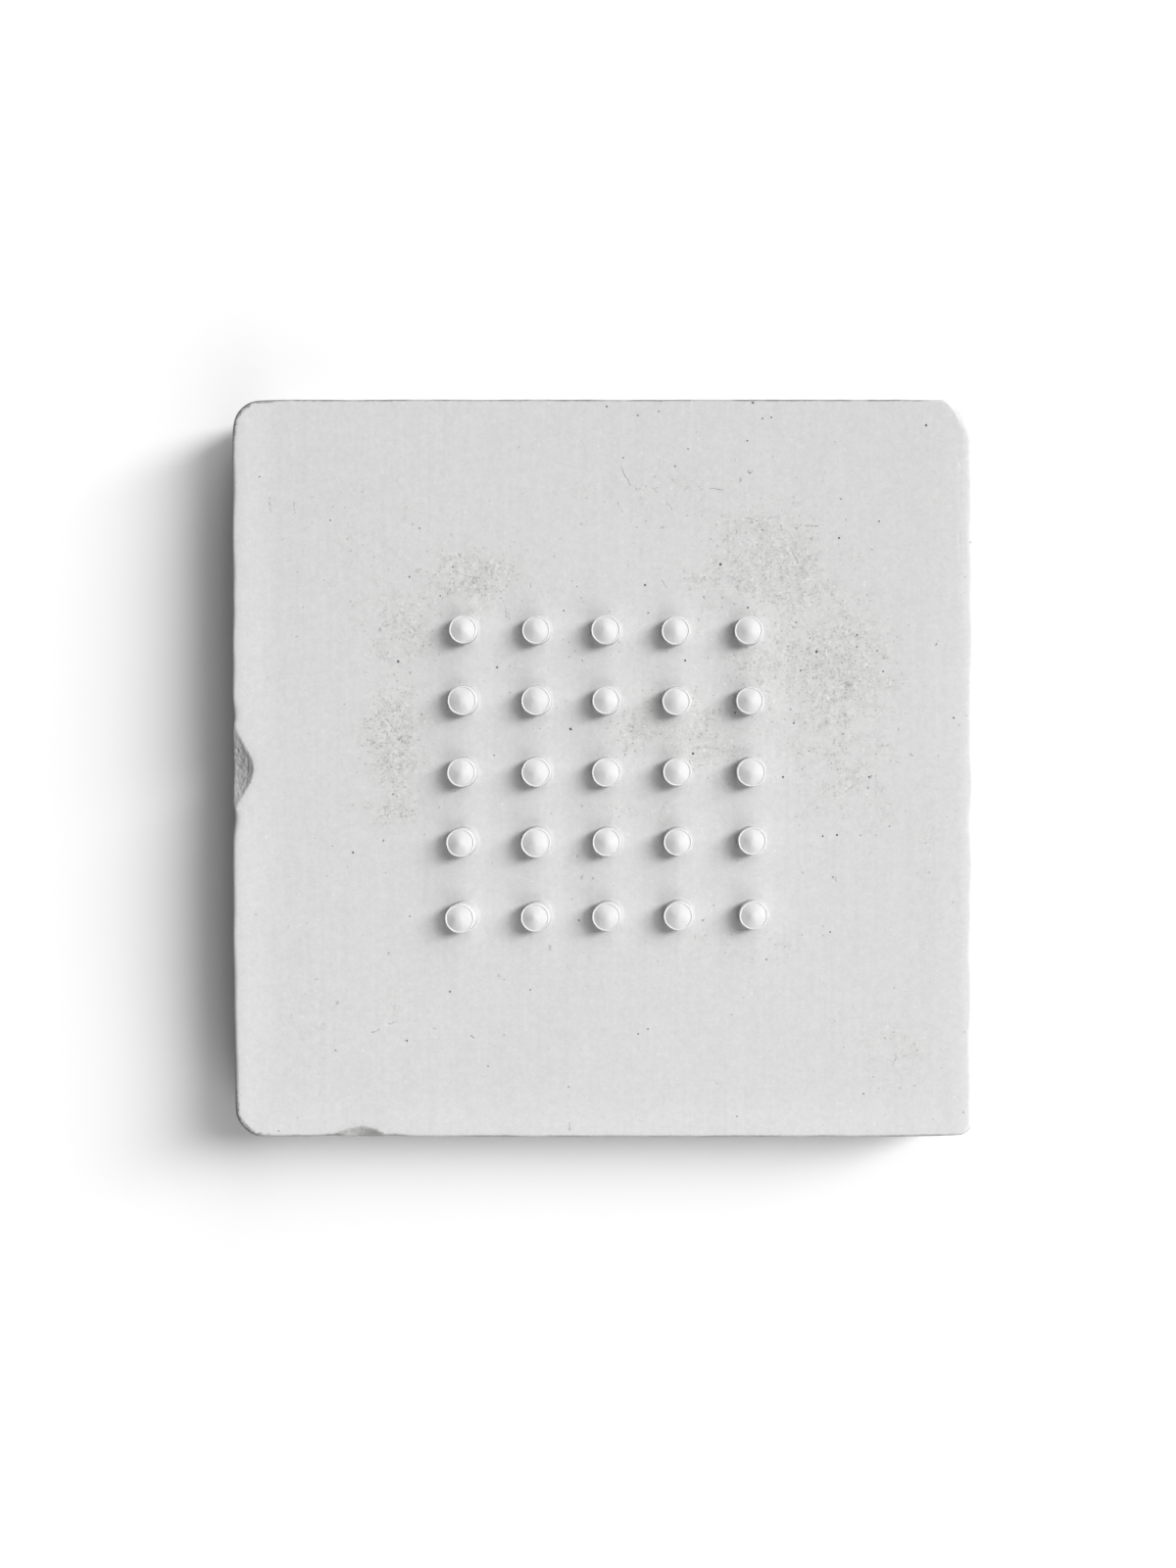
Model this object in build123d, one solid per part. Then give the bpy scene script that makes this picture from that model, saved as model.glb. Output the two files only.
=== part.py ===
from build123d import *
import math
import os

# Plaster wall tile: a cast slab with a square field of drilled-mould studs on its face.
# Millimetres. It lies on its back, +Z out of the face, origin at the middle of the back.

# Slab
tile_width = 200.0
tile_height = 200.0
slab_thickness = 25.0
face_edge_round = 1.2

# Corners of the outline, all four different on this casting
top_left_radius = 6.6
bottom_left_radius = 6.2
bottom_right_radius = 3.0
worn_corner_x = 3.6
worn_corner_y = 10.0
worn_corner_blend = 5.0

# Chips broken out of the face's edge: length along the edge, reach into the face, drop down the wall
left_chip_length = 22.0
left_chip_reach = 5.2
left_chip_drop = 2.8
left_chip_y = -0.4
bottom_chip_length = 10.0
bottom_chip_reach = 2.6
bottom_chip_drop = 1.5
bottom_chip_x = -65.4

# Stud: flared foot, drafted shank, crisp rim and the point that a drill leaves
shank_diameter = 7.8
rim_diameter = 7.5
rim_height = 4.5
point_angle = 138.0
foot_flare = 0.3
foot_flare_height = 0.7
stud_root = 1.2

# Lean of the studs, which the mould's holes were drilled with
stud_lean = 2.6
lean_toward = 214.0

# Field of studs, marked out by hand: not quite square, a little turned, off the middle
stud_columns = 5
stud_rows = 5
column_pitch = 19.72
row_pitch = 19.5
column_pitch_growth = 0.12
row_pitch_growth = 0.07
field_centre_x = 0.84
field_centre_y = -1.37
field_turn = 0.33
column_wander = 0.5
row_wander = 0.3


def tile_outline():
    half_width = tile_width / 2
    half_height = tile_height / 2
    outline = Rectangle(tile_width, tile_height)
    rounded = (
        (-1, 1, top_left_radius),
        (-1, -1, bottom_left_radius),
        (1, -1, bottom_right_radius),
    )
    for side_x, side_y, radius in rounded:
        corner = outline.vertices().sort_by(lambda v: side_x * v.X + side_y * v.Y)[-1]
        outline = fillet(corner, radius)
    # The worn corner is cut across, and the cut is blended into both edges
    cut_top = (half_width - worn_corner_x, half_height)
    cut_side = (half_width, half_height - worn_corner_y)
    outside = (half_width + worn_corner_x, half_height + worn_corner_y)
    outline -= Polygon(cut_top, cut_side, outside, align=None)
    for cut_end in (cut_top, cut_side):
        outline = fillet(outline.vertices().sort_by_distance(cut_end)[0], worn_corner_blend)
    return outline


def edge_chip(length, reach, drop):
    # A ball outside the slab's edge, whose scoop is `length` along the edge, runs `reach` into
    # the face and goes `drop` down the wall. The edge is the Y axis, the slab is at +X and -Z.
    half_length = length / 2
    outward = (half_length**2 - reach**2) / (2 * reach)
    upward = (half_length**2 - drop**2) / (2 * drop)
    ball = Sphere(math.hypot(outward, upward, half_length))
    return Pos(-outward, 0, upward) * ball


def slab():
    body = extrude(tile_outline(), slab_thickness)
    body = fillet(body.faces().sort_by(Axis.Z)[-1].edges(), face_edge_round)
    left_chip = edge_chip(left_chip_length, left_chip_reach, left_chip_drop)
    bottom_chip = edge_chip(bottom_chip_length, bottom_chip_reach, bottom_chip_drop)
    body -= Pos(-tile_width / 2, left_chip_y, slab_thickness) * left_chip
    body -= Pos(bottom_chip_x, -tile_height / 2, slab_thickness) * Rot(0, 0, 90) * bottom_chip
    return body


def stud():
    shank_radius = shank_diameter / 2
    rim_radius = rim_diameter / 2
    foot_radius = shank_radius + foot_flare
    point_height = rim_radius / math.tan(math.radians(point_angle / 2))
    profile = Polyline(
        (0, -stud_root),
        (foot_radius, -stud_root),
        (foot_radius, 0),
        (shank_radius, foot_flare_height),
        (rim_radius, rim_height),
        (0, rim_height + point_height),
        close=True,
    )
    return revolve(Plane.XZ * make_face(profile), Axis.Z)


def stud_places():
    middle_column = (stud_columns - 1) / 2
    middle_row = (stud_rows - 1) / 2
    turn = Rot(0, 0, field_turn)
    for row in range(stud_rows):
        for column in range(stud_columns):
            across = column - middle_column
            down = row - middle_row
            x = across * (column_pitch + column_pitch_growth * down)
            y = -down * (row_pitch - row_pitch_growth * across)
            x += column_wander * math.sin(math.tau * column / (stud_columns - 1))
            y += row_wander * math.sin(math.pi * row / (stud_rows - 1))
            yield Pos(field_centre_x, field_centre_y, slab_thickness) * turn * Pos(x, y, 0)


def plaster_tile():
    leaning_stud = Rot(0, 0, lean_toward) * Rot(0, stud_lean, 0) * stud()
    studs = [place * leaning_stud for place in stud_places()]
    return slab().fuse(*studs)


tile = plaster_tile()
tile.label = "plaster_tile"
print("plaster_tile volume, litres:", round(tile.volume / 1e6, 4))
os.makedirs("parts", exist_ok=True)
export_step(tile, "parts/plaster_tile.step")
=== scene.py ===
import bpy
import bmesh
import math
import numpy as np
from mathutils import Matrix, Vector, noise


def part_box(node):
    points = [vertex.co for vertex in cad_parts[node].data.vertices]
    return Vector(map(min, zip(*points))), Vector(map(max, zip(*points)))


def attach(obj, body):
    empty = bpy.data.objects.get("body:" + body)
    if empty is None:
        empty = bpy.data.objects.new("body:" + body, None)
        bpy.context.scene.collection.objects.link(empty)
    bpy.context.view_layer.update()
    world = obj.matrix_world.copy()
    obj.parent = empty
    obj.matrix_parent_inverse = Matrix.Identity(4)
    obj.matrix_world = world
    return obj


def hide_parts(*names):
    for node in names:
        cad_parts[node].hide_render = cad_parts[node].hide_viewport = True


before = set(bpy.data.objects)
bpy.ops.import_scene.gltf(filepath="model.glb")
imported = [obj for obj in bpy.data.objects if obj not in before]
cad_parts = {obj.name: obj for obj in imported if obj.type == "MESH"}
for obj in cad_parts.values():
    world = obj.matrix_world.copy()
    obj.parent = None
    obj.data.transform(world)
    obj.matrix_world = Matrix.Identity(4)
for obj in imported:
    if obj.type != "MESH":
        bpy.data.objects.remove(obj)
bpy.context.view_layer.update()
tileLow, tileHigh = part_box("plaster_tile")
mm = 0.001
halfX = (tileHigh[0] - tileLow[0]) / 2 / mm
halfY = (tileHigh[1] - tileLow[1]) / 2 / mm


# how the picture was taken: straight down on the face, no shift

view = dict(
    imageHeight=1600,
    imageMiddle=(600.0, 800.0),  # px
    tileMiddle=(614.8, 783.7),  # px, where the tile's middle lies in the picture
    tileSide=753.4,  # px
    distance=0.55,  # m, lens to face
    sensor=36.0,  # mm
)


def facePoint(place):
    scale = view["tileSide"] / (2 * halfX)  # px per mm on the face
    return (place[0] - view["tileMiddle"][0]) / scale, (view["tileMiddle"][1] - place[1]) / scale


# small helpers for node trees, most find their tree from a socket they are given

def setInput(socket, value):
    if isinstance(value, bpy.types.NodeSocket):
        socket.id_data.links.new(value, socket)
    else:
        socket.default_value = value


def addNode(tree, kind, values=None, **settings):
    node = tree.nodes.new(kind)
    for name, value in settings.items():
        setattr(node, name, value)
    for socket, value in (values or {}).items():
        setInput(node.inputs[socket], value)
    return node


def maths(operation, first, second=0.0, clamp=False):
    tree = next(side.id_data for side in (first, second) if isinstance(side, bpy.types.NodeSocket))
    values = {0: first, 1: second}
    return addNode(tree, "ShaderNodeMath", values, operation=operation, use_clamp=clamp).outputs[0]


def inTurn(operation, first, others):
    for other in others:
        first = maths(operation, first, other)
    return first


def plus(first, *others):
    return inTurn("ADD", first, others)


def times(first, *others):
    return inTurn("MULTIPLY", first, others)


def largest(first, *others):
    return inTurn("MAXIMUM", first, others)


def minus(first, second):
    return maths("SUBTRACT", first, second)


def centred(value):
    return minus(value, 0.5)  # noise about nought


def axesOf(vector):
    return addNode(vector.id_data, "ShaderNodeSeparateXYZ", {0: vector}).outputs


def vectorMaths(operation, first, second):
    values = {0: first, 1: second}
    return addNode(first.id_data, "ShaderNodeVectorMath", values, operation=operation).outputs[0]


def scaled(vector, amount):
    values = {0: vector, "Scale": amount}
    return addNode(vector.id_data, "ShaderNodeVectorMath", values, operation="SCALE").outputs[0]


def ramp(value, low, high, outLow=0.0, outHigh=1.0):
    values = {"Value": value, "From Min": low, "From Max": high, "To Min": outLow, "To Max": outHigh}
    return addNode(value.id_data, "ShaderNodeMapRange", values, interpolation_type="SMOOTHSTEP").outputs[0]


def noiseAt(vector, size, detail=2.0, rough=0.5, warp=0.0):
    values = {"Vector": vector, "Scale": 1.0 / size, "Detail": detail}
    values.update({"Roughness": rough, "Distortion": warp})
    return addNode(vector.id_data, "ShaderNodeTexNoise", values).outputs["Fac"]


def openSocket(tree, name, kind, output=False):
    side = "OUTPUT" if output else "INPUT"
    tree.interface.new_socket(name, in_out=side, socket_type="NodeSocket" + kind)


def addThing(name, data):
    thing = bpy.data.objects.new(name, data)
    bpy.context.collection.objects.link(thing)
    return thing


def newMesh(name, points, faces=(), **tones):
    mesh = bpy.data.meshes.new(name)
    mesh.from_pydata(points, [], faces)
    for tone, values in tones.items():
        values = np.array(values, float)
        kind, field = ("FLOAT", "value") if values.ndim == 1 else ("FLOAT_VECTOR", "vector")
        mesh.attributes.new(tone, kind, "POINT").data.foreach_set(field, values.ravel())
    mesh.update()
    return mesh


# slab blank: face patch, rounded edge, walls, back

slab = dict(
    cells=200,  # quads along one side of the face
    thickness=25.0,  # mm, from the back to the face
    topLeft=(10.0, 11.0, 3.2),  # corner reach across, reach down, roundness (2 is an ellipse)
    bottomLeft=(7.4, 7.6, 2.2),
    bottomRight=(3.4, 3.4, 2.0),
    topRight=(7.6, 13.5, 2.0),
    sideGrow=dict(left=0.45, right=0.55, top=-0.1, bottom=0.0),  # mm, past the solid's sides
    edgeRound=dict(left=1.05, right=1.25, top=0.55, bottom=0.65),
    cornerRound=dict(topLeft=0.7, topRight=3.6, bottomRight=0.9, bottomLeft=1.7),
    edgeRoundWaves=((0.5, 9.0, 3.5),),  # share, size in mm, seed
    rollDepth=dict(left=0.17, right=0.26, top=0.05, bottom=0.08),  # mm, rubbed shoulder
    rollWidth=3.6,
    rollFade=4,  # power, how soon it ends down the wall
    edgeSteps=5,
    backRound=0.5,
    backSteps=2,
    backMargin=1.5,
    wallRows=12,
    edgeWaves=((0.11, 34.0, 1.5), (0.05, 6.0, 7.5)),  # mm out, size in mm, seed
    nickWaves=((1.0, 2.4, 5.5), (0.6, 19.0, 8.5)),  # share, size in mm, seed
    nickDepth=0.09,  # mm
    nickFrom=0.42,  # share of the noise that stays smooth
    bottomRise=0.55,  # mm, the bottom edge lifts towards the right corner
    bottomRiseFrom=68.0,
    leftDraw=1.1,  # mm, the left edge draws in towards the bottom corner
    leftDrawFrom=90.0,
    ownSide=8,  # power, keeps these two to their own side
    taper=(0.3, 0.45),  # mm, the edges draw in towards the top left corner
    taperFrom=16.0,
    insetMost=4.0,  # mm, how far in from the outline the dark edge line is looked for
    insetStep=0.2,  # of the outline's own steps
    insetWall=1.5,  # mm below the face, where the wall starts
    faceZone=1.0,  # mm below the face that still count as face
)


def cornerPoints(signX, signY, reachX, reachY, roundness, steps=24):
    points = []
    for step in range(2 * steps + 1):
        turn = math.pi / 2 * step / (2 * steps)
        x = halfX - reachX + reachX * math.cos(turn) ** (2 / roundness)
        y = halfY - reachY + reachY * math.sin(turn) ** (2 / roundness)
        points.append((signX * x, signY * y))
    return points if signX == signY else points[::-1]  # anticlockwise seen from above


def evenSide(points, cells):
    points = np.array(points)
    lengths = np.hypot(*np.diff(points, axis=0).T)
    along = np.concatenate(([0.0], np.cumsum(lengths)))
    wanted = np.linspace(0, along[-1], cells + 1)
    return np.column_stack([np.interp(wanted, along, points[:, axis]) for axis in (0, 1)])


def slabOutline(cells):
    corners = [
        cornerPoints(-1, -1, *slab["bottomLeft"]),
        cornerPoints(1, -1, *slab["bottomRight"]),
        cornerPoints(1, 1, *slab["topRight"]),
        cornerPoints(-1, 1, *slab["topLeft"]),
    ]
    sides = []
    for number, corner in enumerate(corners):
        following = corners[(number + 1) % 4]
        middle = len(corner) // 2
        sides.append(evenSide(corner[middle:] + following[:middle + 1], cells)[:-1])
    return np.concatenate(sides)


def outwardNormals(outline):
    along = np.roll(outline, -1, axis=0) - np.roll(outline, 1, axis=0)
    across = np.column_stack([along[:, 1], -along[:, 0]])
    return across / np.linalg.norm(across, axis=1)[:, None]


def wander(points, size, seed):
    return np.array([noise.noise(Vector((x / size, y / size, seed))) for x, y in points])


def waves(points, layers):
    return sum(height * wander(points, size, seed) for height, size, seed in layers)


def bySide(normals, sides, corners=None):
    x, y = normals.T
    amount = np.where(x < 0, sides["left"], sides["right"]) * x ** 2
    amount += np.where(y < 0, sides["bottom"], sides["top"]) * y ** 2
    if corners:
        lower = np.where(x < 0, corners["bottomLeft"], corners["bottomRight"])
        upper = np.where(x < 0, corners["topLeft"], corners["topRight"])
        amount += np.where(y < 0, lower, upper) * 4 * x ** 2 * y ** 2  # full on the diagonal
    return amount


def patch(ring, cells):
    bottom, right = ring[:cells + 1], ring[cells:2 * cells + 1]
    top = ring[2 * cells:3 * cells + 1][::-1]
    left = np.concatenate([ring[3 * cells:], ring[:1]])[::-1]
    u = np.linspace(0, 1, cells + 1)[:, None, None]
    v = np.linspace(0, 1, cells + 1)[None, :, None]
    between = (1 - v) * bottom[:, None] + v * top[:, None] + (1 - u) * left[None] + u * right[None]
    corners = (1 - u) * (1 - v) * bottom[0] + u * (1 - v) * bottom[-1]
    corners = corners + (1 - u) * v * top[0] + u * v * top[-1]
    return between - corners


def ringIndex(i, j, cells):
    if j == 0:
        return i
    if i == cells:
        return cells + j
    if j == cells:
        return 3 * cells - i
    if i == 0:
        return 4 * cells - j
    return None


def addRing(points, outline, height):
    first = len(points)
    heights = np.broadcast_to(height, (len(outline),))
    points += [(x, y, z) for (x, y), z in zip(outline, heights)]
    return range(first, len(points))


def addWall(faces, upper, lower):
    count = len(upper)
    for k in range(count):
        n = (k + 1) % count
        faces.append((upper[k], lower[k], lower[n], upper[n]))


def addBand(faces, lower, upper):  # a ring of one point is a pole
    count = max(len(lower), len(upper))
    for k in range(count):
        n = (k + 1) % count
        if len(lower) == 1:
            faces.append((lower[0], upper[n], upper[k]))
        elif len(upper) == 1:
            faces.append((lower[k], lower[n], upper[0]))
        else:
            faces.append((lower[k], lower[n], upper[n], upper[k]))


def addHalvedWall(faces, upper, lower):
    for k in range(len(lower)):
        n = (k + 1) % len(lower)
        first, middle, last = upper[2 * k], upper[2 * k + 1], upper[(2 * k + 2) % len(upper)]
        faces += [(first, lower[k], middle), (middle, lower[k], lower[n]), (middle, lower[n], last)]


def addCover(points, faces, ring, outline, height, cells, up):
    grid = patch(outline, cells)
    index = {}
    for i in range(cells + 1):
        for j in range(cells + 1):
            onRing = ringIndex(i, j, cells)
            if onRing is None:
                index[i, j] = len(points)
                points.append((*grid[i, j], height))
            else:
                index[i, j] = ring[onRing]
    for i in range(cells):
        for j in range(cells):
            quad = (index[i, j], index[i + 1, j], index[i + 1, j + 1], index[i, j + 1])
            faces.append(quad if up else quad[::-1])


def wornOutline(outline, normals):
    wave = waves(outline, slab["edgeWaves"])
    wave -= slab["nickDepth"] * np.clip(waves(outline, slab["nickWaves"]) - slab["nickFrom"], 0, 1)
    wave += bySide(normals, slab["sideGrow"])
    outline = outline + normals * wave[:, None]
    lift = np.clip((outline[:, 0] - slab["bottomRiseFrom"]) / (halfX - slab["bottomRiseFrom"]), 0, 1)
    atBottom = np.clip(-outline[:, 1] / halfY, 0, 1) ** slab["ownSide"]
    outline[:, 1] += slab["bottomRise"] * lift ** 2 * atBottom
    low = np.clip(1 - (outline[:, 1] + halfY) / slab["leftDrawFrom"], 0, 1)
    atLeft = np.clip(-outline[:, 0] / halfX, 0, 1) ** slab["ownSide"]
    outline[:, 0] += slab["leftDraw"] * low ** 2 * atLeft
    away = np.hypot(outline[:, 0] + halfX, halfY - outline[:, 1])  # from the top left corner
    near = np.clip(1 - away / slab["taperFrom"], 0, 1)
    return outline - normals * (near * (normals ** 2 @ slab["taper"][::-1]))[:, None]


def shoulderDrop(points):
    x, y, z = points.T
    reach = dict(left=halfX + x, right=halfX - x, top=halfY - y, bottom=halfY + y)
    drop = 0
    for side, depth in slab["rollDepth"].items():
        drop = drop + depth * np.clip(1 - reach[side] / slab["rollWidth"], 0, 1) ** 2
    return drop * np.clip(z / slab["thickness"], 0, 1) ** slab["rollFade"]


def insetFrom(outline, points):
    count = len(outline)
    steps = np.arange(0, count, slab["insetStep"])
    closed = np.vstack([outline, outline[:1]])
    fine = np.column_stack([np.interp(steps, np.arange(count + 1), side) for side in closed.T])
    inset = np.full(len(points), slab["insetMost"])
    near = np.abs(points[:, :2]).max(axis=1) > min(halfX, halfY) - slab["insetMost"]
    for point in np.flatnonzero(near):
        inset[point] = np.hypot(*(fine - points[point, :2]).T).min()
    below = points[:, 2] - slab["thickness"] + slab["insetWall"]
    return inset + np.minimum(below, 0)  # below nought down the walls


def slabBlank():
    cells = slab["cells"]
    top = slab["thickness"]
    cleanOutline = slabOutline(cells)
    normals = outwardNormals(cleanOutline)
    outline = wornOutline(cleanOutline, normals)
    edge = bySide(normals, slab["edgeRound"], slab["cornerRound"])
    edge = edge * (1 + waves(outline, slab["edgeRoundWaves"]))
    points, faces, rings = [], [], []
    for step in range(slab["edgeSteps"] + 1):
        turn = math.pi / 2 * step / slab["edgeSteps"]
        inset = edge * (1 - math.sin(turn))
        height = top - edge * (1 - math.cos(turn))
        rings.append(addRing(points, outline - normals * inset[:, None], height))
    addCover(points, faces, rings[0], outline - normals * edge[:, None], top, cells, True)
    for upper, lower in zip(rings, rings[1:]):
        addWall(faces, upper, lower)
    half = outline[::2]
    halfNormals = normals[::2]
    previous = rings[-1]
    for row in range(1, slab["wallRows"] + 1):
        share = row / slab["wallRows"]
        ring = addRing(points, half, (top - edge[::2]) * (1 - share) + slab["backRound"] * share)
        join = addHalvedWall if row == 1 else addWall
        join(faces, previous, ring)
        previous = ring
    for step in range(1, slab["backSteps"] + 1):
        turn = math.pi / 2 * step / slab["backSteps"]
        inset = slab["backRound"] * (1 - math.cos(turn))
        ring = addRing(points, half - halfNormals * inset, slab["backRound"] * (1 - math.sin(turn)))
        addWall(faces, previous, ring)
        previous = ring
    quarter = (half - halfNormals * slab["backRound"])[::2]
    quarter = quarter - outwardNormals(quarter) * slab["backMargin"]
    inner = addRing(points, quarter, 0.0)
    addHalvedWall(faces, previous, inner)
    addCover(points, faces, inner, quarter, 0.0, cells // 4, False)
    points = np.array(points)
    points[:, 2] -= shoulderDrop(points)
    tones = dict(stain=stainAt(points), edgeInset=insetFrom(outline, points), footDirtAndShade=footAt(points))
    return newMesh("slabBlank", points * mm, faces, **tones)


# where the face is stained and rough: place in px, reach across and down in mm, strength

staining = dict(wall=0.3, most=1.3, spots=[
    ((490, 588), 12, 9, 1.0),
    ((408, 645), 10, 8, 0.7),
    ((400, 752), 8, 15, 1.0),
    ((405, 768), 4, 10, 0.6),
    ((785, 572), 19, 14, 1.0),
    ((852, 680), 15, 18, 1.0),
    ((765, 678), 9, 5, 0.7),
    ((648, 745), 6, 5, 0.9),
    ((725, 760), 15, 11, 0.55),
    ((868, 800), 16, 18, 0.5),
    ((615, 690), 62, 34, 0.26),
    ((312, 1045), 10, 15, 0.36),
    ((400, 1030), 15, 9, 0.3),
    ((915, 1075), 14, 12, 0.42),
    ((665, 500), 24, 10, 0.4),
    ((765, 962), 21, 7, 0.45),
    ((950, 885), 6, 22, 0.3),
    ((400, 832), 15, 5, 0.45),
    ((640, 832), 13, 6, 0.4),
    ((380, 560), 22, 24, 0.28),
])


def stainAt(points):
    x, y, z = points.T
    total = np.zeros(len(points))
    for place, across, down, strength in staining["spots"]:
        middleX, middleY = facePoint(place)
        total += strength * np.exp(-((x - middleX) / across) ** 2 - ((y - middleY) / down) ** 2)
    onFace = z > slab["thickness"] - slab["faceZone"]
    return np.where(onFace, np.clip(total, 0, staining["most"]), staining["wall"])


# one stud, turned about +Z from its profile

stud = dict(
    shankRadius=3.88,
    rimRadius=3.75,
    rimHeight=4.5,
    rimFlash=0.13,  # mm, the thin fin that the mould's joint left round the rim
    flashWidth=0.38,
    headSlope=19.5,  # degrees
    tipRound=1.0,
    footFlare=0.18,
    footFlareHeight=0.5,
    footSteps=4,
    shankRings=((0.4, -1), (0.8, -0.5), (1.0, 1)),  # share of the height, tone from shank -1 (painted shade) to head 1
    finTop=(0.25, 0.5),  # of the fin's width, from the outside
    finHighlight=0.6,  # painted highlight at the fin's inner foot, 1 is the rim's
    headRings=(0.94, 0.8, 0.62, 0.44, 0.28, 0.14, 0.0),  # of the head's radius
    root=1.2,
    segments=40,
)


def studProfile():
    s = stud
    points = [(0.0, -s["root"], 0, -1), (s["shankRadius"] + s["footFlare"], -s["root"], 0, -1)]
    for step in range(s["footSteps"] + 1):
        turn = math.pi / 2 * step / s["footSteps"]
        radius = s["shankRadius"] + s["footFlare"] * (1 - math.sin(turn))
        points.append((radius, s["footFlareHeight"] * (1 - math.cos(turn)), 0, -1))
    low, high = s["footFlareHeight"], s["rimHeight"]
    for share, tone in s["shankRings"]:
        radius = s["shankRadius"] + (s["rimRadius"] - s["shankRadius"]) * share
        points.append((radius, low + (high - low) * share, int(share == 1), tone))
    for share in s["finTop"]:
        points.append((s["rimRadius"] - share * s["flashWidth"], high + s["rimFlash"], 1, 1))
    start = s["rimRadius"] - s["flashWidth"]
    points.append((start, high, s["finHighlight"], 1))
    slope = math.radians(s["headSlope"])
    spread = math.hypot(start, s["tipRound"])
    for share in s["headRings"]:
        radius = start * share
        rise = math.tan(slope) * (spread - math.hypot(radius, s["tipRound"]))
        points.append((radius, high + rise, 0, 1))
    return points


def studForm():
    count = stud["segments"]
    points, faces, rims, heads, rings = [], [], [], [], []
    for radius, height, rim, head in studProfile():
        around = 1 if radius == 0 else count
        rings.append(range(len(points), len(points) + around))
        for k in range(around):
            turn = math.tau * k / count
            points.append((radius * math.cos(turn) * mm, radius * math.sin(turn) * mm, height * mm))
            rims.append(rim)
            heads.append(head)
    for lower, upper in zip(rings, rings[1:]):
        addBand(faces, lower, upper)
    return newMesh("studForm", points, faces, rimWear=rims, headTone=heads)


# where the studs stand: the hand-marked grid as the rims show it, in mm

studField = dict(
    columns=5, rows=5,
    columnPitch=19.46, rowPitch=19.21,
    columnGrowth=0.12, rowGrowth=0.07,
    columnSlant=0.045, rowSlant=0.06,
    centreX=1.09, centreY=-1.28,
    columnWander=0.5, rowWander=0.3,
    rowNudge=(0.0, 0.0, -0.1, 0.4, -0.25),
    lean=2.5, leanToward=214.0,  # degrees, the direction from +X towards +Y
    slant=10.0,  # degrees, more slant towards the lower left corner of the field
    slantFrom=(-12.0, 72.0),  # mm towards that corner
    slantWidth=1.05,  # the slanting studs are wider
    footRing=4.6,  # mm, the face is darkened this far from a stud's middle: dirt and painted shade
    footSpread=1.8,
)


def studSpots():
    f = studField
    toward = math.radians(f["leanToward"])
    points, slants, widths = [], [], []
    for row in range(f["rows"]):
        for column in range(f["columns"]):
            across = column - (f["columns"] - 1) / 2
            down = row - (f["rows"] - 1) / 2
            x = across * (f["columnPitch"] + f["columnGrowth"] * down) + down * f["columnSlant"]
            y = across * f["rowSlant"] - down * (f["rowPitch"] - f["rowGrowth"] * across)
            x += f["columnWander"] * math.sin(math.tau * column / (f["columns"] - 1))
            y += f["rowWander"] * math.sin(math.pi * row / (f["rows"] - 1)) + f["rowNudge"][row]
            share = float(np.interp(-x - y, f["slantFrom"], (0, 1)))
            slants.append(math.tan(math.radians(f["slant"] * share)))
            widths.append(1 + (f["slantWidth"] - 1) * share)
            shift = stud["rimHeight"] * slants[-1]  # the head stays, the foot moves
            x += f["centreX"] - shift * math.cos(toward)
            y += f["centreY"] - shift * math.sin(toward)
            points.append((x, y, slab["thickness"]))
    return points, slants, widths


# dirt and painted shade in a ring round each stud's foot
def footAt(points):
    spots = np.array(studSpots()[0])
    away = np.hypot(*(points[:, None, :2] - spots[None, :, :2]).transpose(2, 0, 1)).min(axis=1)
    tone = np.exp(-(np.maximum(away - studField["footRing"], 0) / studField["footSpread"]) ** 2)
    return np.where(points[:, 2] > slab["thickness"] - slab["faceZone"], tone, 0)


def studPlaces():
    points, slants, widths = studSpots()
    return newMesh("studPlaces", [Vector(point) * mm for point in points], slant=slants, width=widths)


# chips in the face's edge: each is scooped by a tube along the edge that swells in its middle

chips = [
    dict(
        place=(-halfX, -0.3), along=(0, 1), outward=(-1, 0),
        reach=5.6, drop=3.1, spread=7.4, standOut=7.0,
        rough=0.22, fresh=0.5, seed=2.0,
    ),
    dict(
        place=(-65.4, -halfY), along=(1, 0), outward=(0, -1),
        reach=3.1, drop=1.0, spread=4.6, standOut=3.0,
        rough=0.08, fresh=1.0, seed=9.0,
    ),
]
chipping = dict(
    steps=150,  # rings along a tube
    length=2.8,  # times the spread, to each side
    facing=72,  # points of a ring that face the slab
    arc=0.32,  # radians, half of their spread
    behind=24,  # points of its far side
    lump=1.2,  # mm
    lumpKind=(0.8, 2.1, 5),  # fall-off, step between sizes, how many sizes
    lumpFull=0.5,  # swell from which the lumps are at full height
    tail=0.12,  # share of the swell that runs on along the edge
    tailSpread=1.6,
    lipPasses=24,  # rounds of smoothing on the lips
    tonePasses=6,
)


def chipTurns(toward):
    arc = chipping["arc"]
    near = np.linspace(-arc, arc, chipping["facing"])
    far = np.linspace(arc, math.tau - arc, chipping["behind"] + 2)[1:-1]
    return toward + np.concatenate([near, far])


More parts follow.
